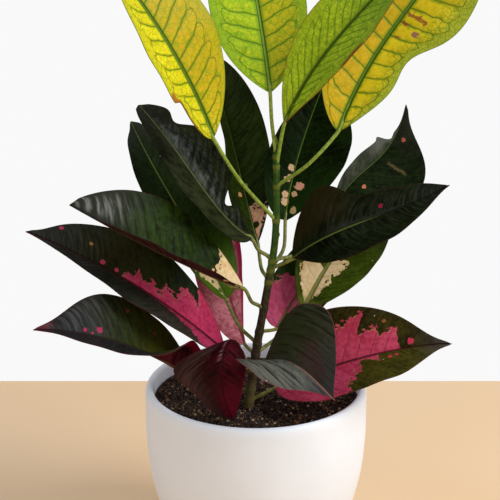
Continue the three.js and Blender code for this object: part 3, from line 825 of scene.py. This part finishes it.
# Painted sheen: the grey towards the tip.
add_leaf(
    "leaf_patch_left", "leaf_dark", 6, dark_look,
    rib=[[-19, 6, 175], [-38, 22, 209], [-61, 36, 246], [-80, 48, 281]], face=[[0.5, -0.6, 0.55]] * 2,
    width=[24, 24], m=[0.6, 0.6], n=[0.7, 0.7], fold=[20, 12, 20, 12], dent=[[0, 0.97, 0.5, 0.05]],
    node=153, via=[[-11, -5, 162]],
    veins=14, left=(0x101E06, 0x1E300C), right=(0x16260A, 0x26380E),
    midrib=(0x50602C, 1.9, 0.8, 0x708040), along=[(0x30332C, 0.72, 1, 0.85), (0x4C6E12, 0.42, 0.08, 0.9)],
    patches=[("left", [(0.02, 0.3), (0.05, 0.8), (0.11, 0.9), (0.15, 0.6), (0.17, 0)], CREAM, 0.3)],
    spots=[
        (0x4C6E12, 0.05, -0.22, 1.6), (0x4C6E12, 0.1, -0.42, 1.5), (0xDDBB85, 0.2, -0.3, 1.4),
        (0xDDBB85, 0.19, -0.55, 1)],
    rim=(0x3C1012, 0.6),
)

# Painted sheen: the grey towards the tip; the glints there are painted highlights.
add_leaf(
    "leaf_dark_left", "leaf_dark", 7, dark_look,
    rib=[[-7, -20, 191], [-39, -34, 210], [-73, -44, 231], [-108, -44, 251]], face=[[0, -0.28, 0.96]] * 2,
    width=[16, 31], m=[1.3, 1], n=[1, 0.8], fold=[42, 38, 48, 40], node=176, via=[[-3, -17, 182]],
    veins=15, left=(0x10100A, 0x1E1A12), right=(0x182404, 0x2A3E08), along=[(0x33332B, 0.6, 0.84, 0.85)],
    glints=[(0xA8A6A0, 0.74, 1, 0.15, 0.8, 0.08, 0.15, 0.5)], rim=(0x3A0E16, 0.7),
    midrib=(0x30241A, 2, 0.8, 0x483828), quilt=0.2, wrinkle=(0.3, 0.06, 0.8, 0.3),
    touches=[(0x1C0A0C, 0, 0.8, -1.3, -0.3, 0.05, 0.1, 0.8)],
    patches=[
        ("right", [(0, 1.2), (0.07, 1.1), (0.1, 0.75), (0.13, 0.5), (0.16, 0.3), (0.18, 0)], CREAM, 0.3)],
    spots=[
        (0xD6A878, 0.125, -0.72, 1.8), (0xD6A878, 0.05, -0.9, 1.6), (0xD6A878, 0.165, 0.5, 1),
        (0xD6A878, 0.14, 0.72, 1.1), (0xD6A878, 0.2, 0.24, 0.9)],
)

# Painted sheen: the grey towards the tip; the glints there are painted highlights.
add_leaf(
    "leaf_low_left", "leaf_dark", 8, dark_look,
    rib=[[-35, -7, 122], [-64, -32, 153], [-96, -52, 173], [-130, -60, 180]],
    face=[[0, -0.478, 0.879]] * 2, width=[24, 29], m=[0.6, 1.2], n=[1.1, 1.1], fold=[30, 28, 30, 25],
    dent=[[0, 0.94, 0.3, 0.12], [1, 0.94, 0.45, 0.14]], kick=[[0, 0.15, 80, 0.19]], node=124,
    via=[[-18, -14, 122]],
    veins=15, left=(0x1C191A, 0x2C2829), right=(0x20240C, 0x343A14), quilt=0.3,
    along=[(0x262324, 0.45, 0.8, 0.9), (0x4A480C, 0.5, 0.2, 0.8)],
    glints=[(0x807E82, 0.64, 0.98, 0.05, 0.9, 0.1, 0.2, 0.25)], midrib=(0x2A1A18, 1.8, 0.8, 0x40282A),
    wrinkle=(0.5, 0.07, 0.7, 0.3),
    spots=[
        (0xAC2450, 0.765, 0.16, 1.2), (0xAC2450, 0.69, 0.19, 1.7), (0xA02844, 0.725, 0.08, 0.8),
        (0x7A2A34, 0.55, 0.75, 1.2), (0x7A2A34, 0.38, 0.53, 1.2)],
    touches=[(0x7A2430, 0.9, 1, -0.5, 1.2, 0.03, 0.2, 0.5)],
    below=dict(
        dark_look["below"], left=(0x3E0E14, 0x521820), right=(0x3A1418, 0x4A1C20),
        touches=[
            (0xA01438, 0.05, 0.6, -1.3, -0.78, 0.05, 0.12, 0.9),
            (0x120C0A, 0.2, 0.5, -0.75, -0.5, 0.05, 0.12, 0.8)]),
    rim=(0x5A1420, 0.7),
)

# Painted sheen: the grey of the folded right half and the grey towards the tip; the glints are painted
# highlights.
add_leaf(
    "leaf_dark_front", "leaf_dark", 9, dark_look,
    rib=[[4, -42, 150], [17, -58, 160], [31, -69, 155], [46, -72, 140]],
    face=[[0.16, -0.12, 0.98], [0.2, -0.5, 0.8]], width=[36, 27], m=[1, 0.4], n=[1.6, 1.15],
    fold=[60, 50, 20, -30], dent=[[1, 0.82, 0.35, 0.16], [1, 0.97, 0.7, 0.1], [0, 0.5, -0.1, 0.12]],
    node=137,
    veins=12, left=(0x2A2B1B, 0x3C3B2D), right=(0x42423A, 0x5C5A50), along=[(0x2E2E30, 0.5, 0.9, 0.8)],
    midrib=(0x4A382A, 1.5, 0.8, 0x6A5040), rib_tip=(0x8A6052, 0.3, 0.7), vein=(0x1C1E16, 0.1),
    rim=(0x7A4048, 0.8), gloss=0.42, wrinkle=(0.05, 0.5, 1, 0.6),
    glints=[(0x90948A, 0.1, 0.85, 0.1, 1.2, 0.1, 0.1, 0.15)],
    touches=[
        (0x2A3212, 0, 0.45, -0.9, -0.1, 0.15, 0.2, 0.6),
        (0x3C1C20, 0.45, 0.75, -0.5, -0.1, 0.1, 0.15, 0.5)],
)

# Painted sheen: the grey towards the tip.
add_leaf(
    "leaf_dark_right", "leaf_dark", 10, dark_look,
    rib=[[22, -16, 209], [49, -34, 232], [80, -42, 247], [111, -42, 262]], face=[[0, -0.637, 0.772]] * 2,
    width=[34, 27], m=[0.8, 1.2], n=[1.2, 1.6], fold=[18, 18, 18, 18],
    dent=[[0, 0.5, 0.5, 0.14], [0, 0.72, 0.45, 0.16]], node=201,
    veins=15, left=(0x0E1408, 0x1E2414), right=(0x0A1005, 0x161E0C), quilt=0.4,
    wrinkle=(0.5, 0.09, 0.5, 0.25), midrib=(0x4A5A26, 1.8, 0.6, 0x6E7A38),
    along=[(0x222220, 0.75, 1, 0.7)], rib_tip=(0x1C2014, 0.4, 0.62),
    glints=[(0x44463A, 0.25, 0.95, -0.7, 0.5, 0.1, 0.2, 0.25)],
    touches=[
        (0x30322C, 0.25, 0.7, -0.14, -0.02, 0.1, 0.05, 0.6),
        (0x2E240A, 0, 0.4, -1.2, -0.3, 0.1, 0.2, 0.6)],
    rim=(0x3A1A18, 0.7), spots=[(0x8A1838, 0.62, -0.35, 1.3)],
)


# --------------------------------------
# Painted leaves. Four old blades that lost their green in ragged blocks along the side veins, so
# the red colouring shows: bright pink next to the midrib, black-green outside and at the tip.
pink_look = dict(
    dark_look, midrib=(0x2E1410, 2.2, 0.9, 0x4A1A1C), rim=(0x4A1418, 0.7), ragged=0.16, quilt=0.25,
    below=dict(dark_look["below"], **both(0x3A1218, 0x4A1A20)),
)

# Painted sheen: the grey towards the tip; the glints there are painted highlights.
add_leaf(
    "leaf_pink_left", "leaf_pink", 11, pink_look,
    rib=[[-19, -5, 143], [-54, -16, 178], [-94, -20, 206], [-140, -14, 226]],
    face=[[0, -0.415, 0.909]] * 2, width=[21, 29], m=[0.8, 0.9], n=[1.1, 0.9], fold=[14, 24, 24, 24],
    dent=[[0, 0.95, 0.4, 0.1], [1, 0.97, 0.4, 0.06]], node=140,
    veins=17, left=(0x22241A, 0x302F27), right=(0x161E09, 0x2A3410),
    glints=[(0x6E6C6A, 0.7, 1, -0.9, 0.9, 0.08, 0.2, 0.2)], along=[(0x2E2C2A, 0.6, 0.95, 0.8)],
    patches=[
        ("right", [
            (0, 1.2), (0.14, 1.1), (0.17, 0.62), (0.2, 0.72), (0.25, 0.66), (0.29, 0.35), (0.34, 0.42),
            (0.38, 0.2), (0.42, 0.33), (0.46, 0.22), (0.48, 0.38), (0.51, 0.16), (0.54, 0.2), (0.58, 0)
        ], (0xB82C50, 0xD43E6A, 0xDC7088, 0xC08058), 0.3),
        ("left", [
            (0, 1.2), (0.08, 1), (0.14, 0.64), (0.24, 0.35), (0.34, 0.12), (0.5, 0.04), (0.56, 0)
        ], (0xA02C4C, 0xB83A60, 0x7A1A36, 0x7E3A40), 0.35)],
    touches=[(0x30201A, 0.45, 0.75, 0.1, 0.9, 0.1, 0.2, 0.4)],
    spots=[
        (0xC03C60, 0.875, 0.81, 1.2), (0xC03C60, 0.665, 0.11, 1.5), (0xC03C60, 0.6, 0.09, 1.3),
        (0xA87848, 0.74, 0.43, 1.2)],
)

# Painted sheen: the grey towards the tip.
add_leaf(
    "leaf_pink_right", "leaf_pink", 12, pink_look,
    rib=[[12, -20, 126], [45, -26, 142], [82, -24, 152], [122, -14, 153]], face=[[0, -0.7, 0.71]] * 2,
    width=[35, 31], m=[0.7, 0.7], n=[1.1, 1], fold=[28, 28, 34, 34],
    dent=[[0, 0.94, 0.45, 0.13], [1, 0.94, 0.35, 0.13]], node=117,
    veins=13, left=(0x241C06, 0x3A340C), right=(0x2C2C0A, 0x484212), along=[(0x3E3836, 0.75, 1, 0.85)],
    patches=[
        ("left", [
            (0, 0.9), (0.26, 0.72), (0.34, 0.72), (0.37, 0.86), (0.4, 0.9), (0.43, 0.5), (0.46, 0.56),
            (0.52, 0.62), (0.56, 0.42), (0.6, 0.56), (0.63, 0.64), (0.67, 0.3), (0.71, 0)
        ], (0xAA3048, 0xC04660, 0x6E1C2C, 0xC08058), 0.6),
        ("right", [
            (0, 1.2), (0.16, 1.15), (0.26, 0.82), (0.32, 0.66), (0.37, 0.5), (0.42, 0.36), (0.46, 0.15),
            (0.49, 0.1), (0.55, 0.26), (0.59, 0)], (0xA62E48, 0xBC4460, 0x6E1C2C, 0xB87050), 0.6)],
    spots=[
        (0xB83048, 0.77, -0.24, 2), (0xB83048, 0.64, 0.23, 1.4), (0xB83048, 0.675, 0.19, 1.2),
        (0x8A5028, 0.65, -0.71, 1.1)],
    rim=(0x5A2A1C, 0.6),
)

add_leaf(
    "leaf_pink_back_left", "leaf_pink", 13, pink_look,
    rib=[[-7, 2, 146], [-17, 20, 172], [-26, 40, 200], [-33, 58, 233]],
    face=[[-0.2, -1, 0.3], [0.1, -0.9, 0.5]], width=[18, 16], m=[0.6, 1.3], n=[0.7, 0.6],
    fold=[15, 10, 15, 10], node=146,
    veins=11, **both(0x16200A, 0x24300F),
    patches=[
        ("left", [
            (0, 1.2), (0.6, 1.15), (0.7, 0.8), (0.8, 0)], (0xB85864, 0xE08C92, 0x9A3A50, 0xC09070), 0.5),
        ("right", [
            (0, 1.2), (0.6, 1.15), (0.7, 0.8), (0.8, 0)], (0xC05462, 0xE48E94, 0x9A3A50, 0xC09070), 0.5)],
    rim=(0xB0204E, 0.95), midrib=(0x7A3038, 1.6, 0.7, 0xA05058),
    touches=[
        (0xB01848, -0.1, 0.9, 0.82, 1.2, 0.1, 0.08, 0.9), (0x5A3420, 0.45, 1, -1.2, 0.3, 0.2, 0.3, 0.6)],
)

add_leaf(
    "leaf_pink_back_right", "leaf_pink", 14, pink_look,
    rib=[[13, 4, 156], [29, 18, 178], [48, 32, 202], [66, 44, 227]],
    face=[[-0.2, -0.9, 0.4], [-0.1, -0.9, 0.4]], width=[20, 20], m=[0.45, 0.6], n=[0.8, 0.9],
    fold=[15, 10, 15, 10], node=161,
    veins=11, **both(0x1E300C, 0x2A4012),
    patches=[
        ("left", [
            (0, 1.1), (0.12, 0.95), (0.2, 0.78), (0.28, 0.55), (0.34, 0.3), (0.38, 0)
        ], (0xB84462, 0xCC5A78, 0x8E2A48, 0xC8A080), 0.3),
        ("right", [
            (0.1, 0), (0.14, 0.25), (0.24, 0.28), (0.27, 0)
        ], (0xB84462, 0xCC5A78, 0x8E2A48, 0xC8A080), 0.3)],
    midrib=(0x3A4A1C, 1.5, 0.7, 0x6A7A34),
)


# --------------------------------------
# Wine leaf. The lowest front blade hangs down over the soil with its underside turned out at the
# sides; it has reddened all over, smooth and satiny, deeper near the stalk and brighter at the tip.
# Painted shade: the brown on the outer part of the right half, where that half bends down. The pale glint
# along the midrib is a painted highlight.
add_leaf(
    "leaf_wine_front", "leaf_wine", 15, pink_look,
    rib=[[-9, -26, 153], [-17, -39, 164], [-21, -49, 148], [-14, -52, 119]],
    face=[[0, -0.2, 1], [0, -1, 0.3]], width=[15, 20], m=[1.3, 1.6], n=[0.8, 0.8],
    fold=[-10, -10, -42, -28], dent=[[1, 0.66, -0.75, 0.12]], node=133,
    veins=14, **both(0x2C040A, 0x440812), along=[(0x680820, 0.62, 0.95, 0.7)], vein=(0x24060A, 0.3),
    blush=[(0x560E1C, 0.5, 0.8, 0.5)], midrib=(0x2A060A, 1.4, 0.6, 0x3A0C12), specks=(0x8A5040, 0.03),
    rim=(0x7A1430, 0.6), margins=[(0x3A2420, 0.3, 0.62, 0.95, "right")], wrinkle=(0.5, 0.06, 1, 0.6),
    shine=0.06, touches=[(0x1E0E0A, 0.6, 0.95, 0.1, 0.7, 0.1, 0.15, 0.6)],
    glints=[
        (0xC09098, 0.2, 0.55, 0.02, 0.14, 0.06, 0.04, 0.7), (0x7A5A50, 0.3, 0.8, 0.4, 1, 0.1, 0.1, 0.25)],
    gloss=0.38, below=dict(dark_look["below"], **both(0x4A0814, 0x600C1C)),
)


# --------------------------------------
# Green young leaf. A soft narrow blade near the top, lime green by the stalk and duller towards
# the tip, with a dark midrib, close-set side veins that run well forward, and a rusty right edge.
lime_stalk = stalk_finish("lime stalk", 0x96A83C, 0x70861F)
young_look = dict(
    dark_look, lean=0.45, bend=4.0, veins=13, loop=0.64, line=0.42, ripple=0.5, quilt=0.35,
    specks=(0x8A8A30, 0.02), gloss=0.45, sink=0.18, ragged=0.1, shine=0.16, stray=1.3,
    wrinkle=(0.4, 0.09, 0, 0.1), crumple=0.6, stalk=[1.7, 1.45, 1.15, 1.1, 1.35, 1.4, 0.4],
    stalk_finish=lime_stalk,
)

add_leaf(
    "leaf_green_top", "leaf_green", 16, young_look,
    rib=[[16, -12, 290], [35, -18, 327], [61, -24, 360], [92, -30, 393]],
    face=[[-0.15, -0.9, 0.4], [-0.15, -0.8, 0.5]], width=[22, 19], m=[1.1, 1.15], n=[1, 1],
    fold=[20, 20, 30, 30], node=264,
    lean=1.4, bend=3, veins=18, line=0.3, left=(0x9ABA10, 0xB4CE1C), right=(0x8CAC14, 0xA6C420),
    blush=[(0xC8DC34, 0.52, 0.72, 0.7), (0x6E9010, 0.46, 0.28, 0.6)],
    along=[(0x70902C, 0.5, 0.85, 0.6), (0xB4D024, 0.4, 0.1, 0.5)],
    margins=[(0x769014, 0.7, 1, 0.4, "both")], halo=[(0x5E8814, 0.55, 1.8)],
    net=[(0x5E7A18, 0.55, 0.5, -0.5, 0.2, "both")], vein=(0x4E7010, 0.5),
    midrib=(0x44600C, 2.4, 1.2, 0x3C580A), rim=(0x8A3A1C, 0.8), rib_strength=0.95,
    touches=[(0x6A3018, 0.42, 0.56, 0.9, 1.2, 0.02, 0.06, 0.8)],
    below=dict(**both(0x8AA03A, 0x98AE44), gloss=0.55),
)


# --------------------------------------
# Yellow young leaves. Three broad blades at the top, golden yellow between thick green midribs and
# dark looping side veins, with a fine green net that thickens towards the wavy margins.
YELLOW_BELOW = dict(both(0xB8B850, 0xC6C25A), gloss=0.55)

# Its right half is painted a darker gold than the left: partly the leaf's own colour and partly painted
# shade.
add_leaf(
    "leaf_yellow_left", "leaf_yellow", 17, young_look,
    rib=[[-25, -28, 286], [-42, -38, 328], [-63, -44, 364], [-88, -40, 396]],
    face=[[0.6, -0.85, 0.2], [0.5, -0.8, 0.4]], width=[27, 32], m=[0.6, 0.85], n=[0.9, 0.9],
    fold=[28, 40, 8, 0], torn=[[0, 0.26, 0.22]], node=231, via=[[-10, -20, 259]],
    veins=14, left=(0xDCD010, 0xE8DC20), right=(0xB8A408, 0xCAB210),
    blush=[(0xD89C1A, 0.5, 0.7, 0.75), (0x92A00A, 0.46, 0.26, 0.6)],
    along=[(0x96980C, 0.5, 1, 0.5), (0xE4D224, 0.22, 0.02, 0.7)],
    margins=[(0x9CA00E, 0.7, 1.05, 0.6, "both")], halo=[(0x6C8A0A, 0.7, 1.9)],
    net=[(0x84900C, 0.65, 0.4, -0.4, 0.3, "both")], vein=(0x56700A, 0.8),
    midrib=(0x44640A, 3, 2, 0x5E7C1A), rib_strength=1, rim=(0x6A7418, 0.8),
    touches=[
        (0xA0581C, 0.255, 0.31, -1.2, -0.82, 0.01, 0.06, 0.9),
        (0x7A3210, 0.05, 0.27, -1.2, -0.93, 0.02, 0.03, 0.95)],
    below=YELLOW_BELOW,
)

add_leaf(
    "leaf_yellow_top", "leaf_yellow", 18, young_look,
    rib=[[8, -9, 309], [3, 4, 344], [-4, 20, 383], [-12, 40, 427]], face=[[0, -1, 0.1], [0, -0.9, 0.5]],
    width=[29, 29], m=[0.85, 0.85], n=[1, 1], fold=[12, 8, 12, 8], node=270, via=[[9, -9, 292]],
    veins=14, left=(0x9EBC0E, 0xBED01A), right=(0xBAB20E, 0xCEBE18), lean=0.3,
    blush=[(0x7EA80E, 0.48, 0.7, 0.7), (0xE2D21C, 0.48, 0.28, 0.75)], along=[(0x78A20E, 0.45, 0.8, 0.6)],
    margins=[(0x92B41E, 0.62, 0.9, 0.8, "both")], halo=[(0x5C8C0E, 0.75, 2)],
    net=[(0x6A9014, 0.7, 0.5, -0.2, 0.4, "both")], vein=(0x527A0E, 0.8),
    midrib=(0x46680C, 2.8, 1.6, 0x7E9C30), rib_strength=1, rim=(0x6A8A1E, 0.8), below=YELLOW_BELOW,
)

add_leaf(
    "leaf_yellow_right", "leaf_yellow", 19, young_look,
    rib=[[48, -14, 287], [70, 0, 330], [97, 8, 367], [126, 6, 410]],
    face=[[-0.1, -1, 0.2], [0.1, -0.8, 0.6]], width=[33, 34], m=[0.7, 0.8], n=[0.9, 0.55],
    fold=[22, 15, 18, 8], dent=[[1, 0.37, 0.36, 0.14]], node=252, via=[[31, -16, 268]],
    veins=15, left=(0xC4A00C, 0xD2AE16), right=(0xD0B810, 0xE0C81E), lean=0.2,
    blush=[(0xDCA41C, 0.55, 0.8, 0.5), (0xA09A0C, 0.44, 0.26, 0.5)], along=[],
    margins=[(0xA4B030, 0.62, 0.92, 0.85, "right"), (0xA89A14, 0.8, 1.1, 0.6, "left")],
    halo=[(0x648A10, 0.75, 1.9)],
    net=[(0x6A8A16, 0.8, 0.65, 0.3, 0.7, "right"), (0x94901A, 0.5, 0.3, -0.4, 0.4, "left")],
    vein=(0x587408, 0.85), midrib=(0x44640A, 3, 1.8, 0x5E7C1A), rib_strength=1, rim=(0x6E8020, 0.8),
    loop=0.68,
    touches=[
        (0x8A4028, 0.548, 0.566, 0.05, 0.5, 0.004, 0.03, 0.85),
        (0x8A4028, 0.506, 0.516, 0.06, 0.24, 0.003, 0.03, 0.85),
        (0x8A4028, 0.438, 0.45, 0.14, 0.3, 0.003, 0.03, 0.7)],
    spots=[(0x9A6A50, 0.49, 0.49, 2.2)], below=YELLOW_BELOW,
)


# --------------------------------------
# Table and light. A plain pale table top, a wide soft window light from the right and front, and
# bright white walls all round that only fill the shadows.
CAMERA_PLACE = (-0.003834, -0.735740, 0.440967)
CAMERA_TILT = 72.537  # degrees up from looking straight down


def pale_table():
    """A smooth light wood tone with faint broad clouds."""
    finish, place = placed_finish("pale table top")
    tone = place.cloud(3, 2).rise(0.3, 0.7).paint(0xEDC79A, 0xF1CFA6)
    return wear(finish, tone, 0.6)


def plane(name, corners, finish):
    mesh = bpy.data.meshes.new(name)
    mesh.from_pydata(corners, [], [[0, 1, 2, 3]])
    mesh.materials.append(finish)
    put(name, mesh)


def lamp(name, spot, aim, size, power, colour):
    light = bpy.data.lights.new(name, "AREA")
    light.shape = "DISK"
    light.size = size
    light.energy = power
    light.color = colour
    holder = put(name, light)
    holder.location = spot
    holder.rotation_euler = (Vector(spot) - Vector(aim)).to_track_quat("Z", "Y").to_euler()


def white_room():
    """White where the camera sees it, bright grey in reflections, and dim as a light."""
    world = bpy.data.worlds.new("white room")
    bpy.context.scene.world = world
    world.use_nodes = True
    air = Wire(world.node_tree)
    seen = air.add("LightPath", out="Is Camera Ray")
    mirrored = air.add("LightPath", out="Is Glossy Ray")
    shade = mirrored.paint((0.67, 0.69, 0.73, 1), (0.16, 0.16, 0.16, 1))
    shade = seen.paint(shade, 0xF9F9F9)
    sky = world.node_tree.nodes["Background"]
    world.node_tree.links.new(shade.socket, sky.inputs["Color"])


plane("table_top", [(-2.5, -1.6, 0), (2.5, -1.6, 0), (2.5, 0.281, 0), (-2.5, 0.281, 0)], pale_table())
lamp("window", (1.15, -0.45, 1.2), (0.0, 0.0, 0.15), 0.8, 18.5, (0.9, 0.95, 1.0))
white_room()

camera = bpy.data.cameras.new("camera")
camera.sensor_width = 36
camera.lens = 90
camera.clip_start = 0.01
eye = put("camera", camera)
eye.location = CAMERA_PLACE
eye.rotation_euler = (np.radians(CAMERA_TILT), 0, 0)
bpy.context.scene.camera = eye
bpy.context.scene.view_settings.view_transform = "Standard"
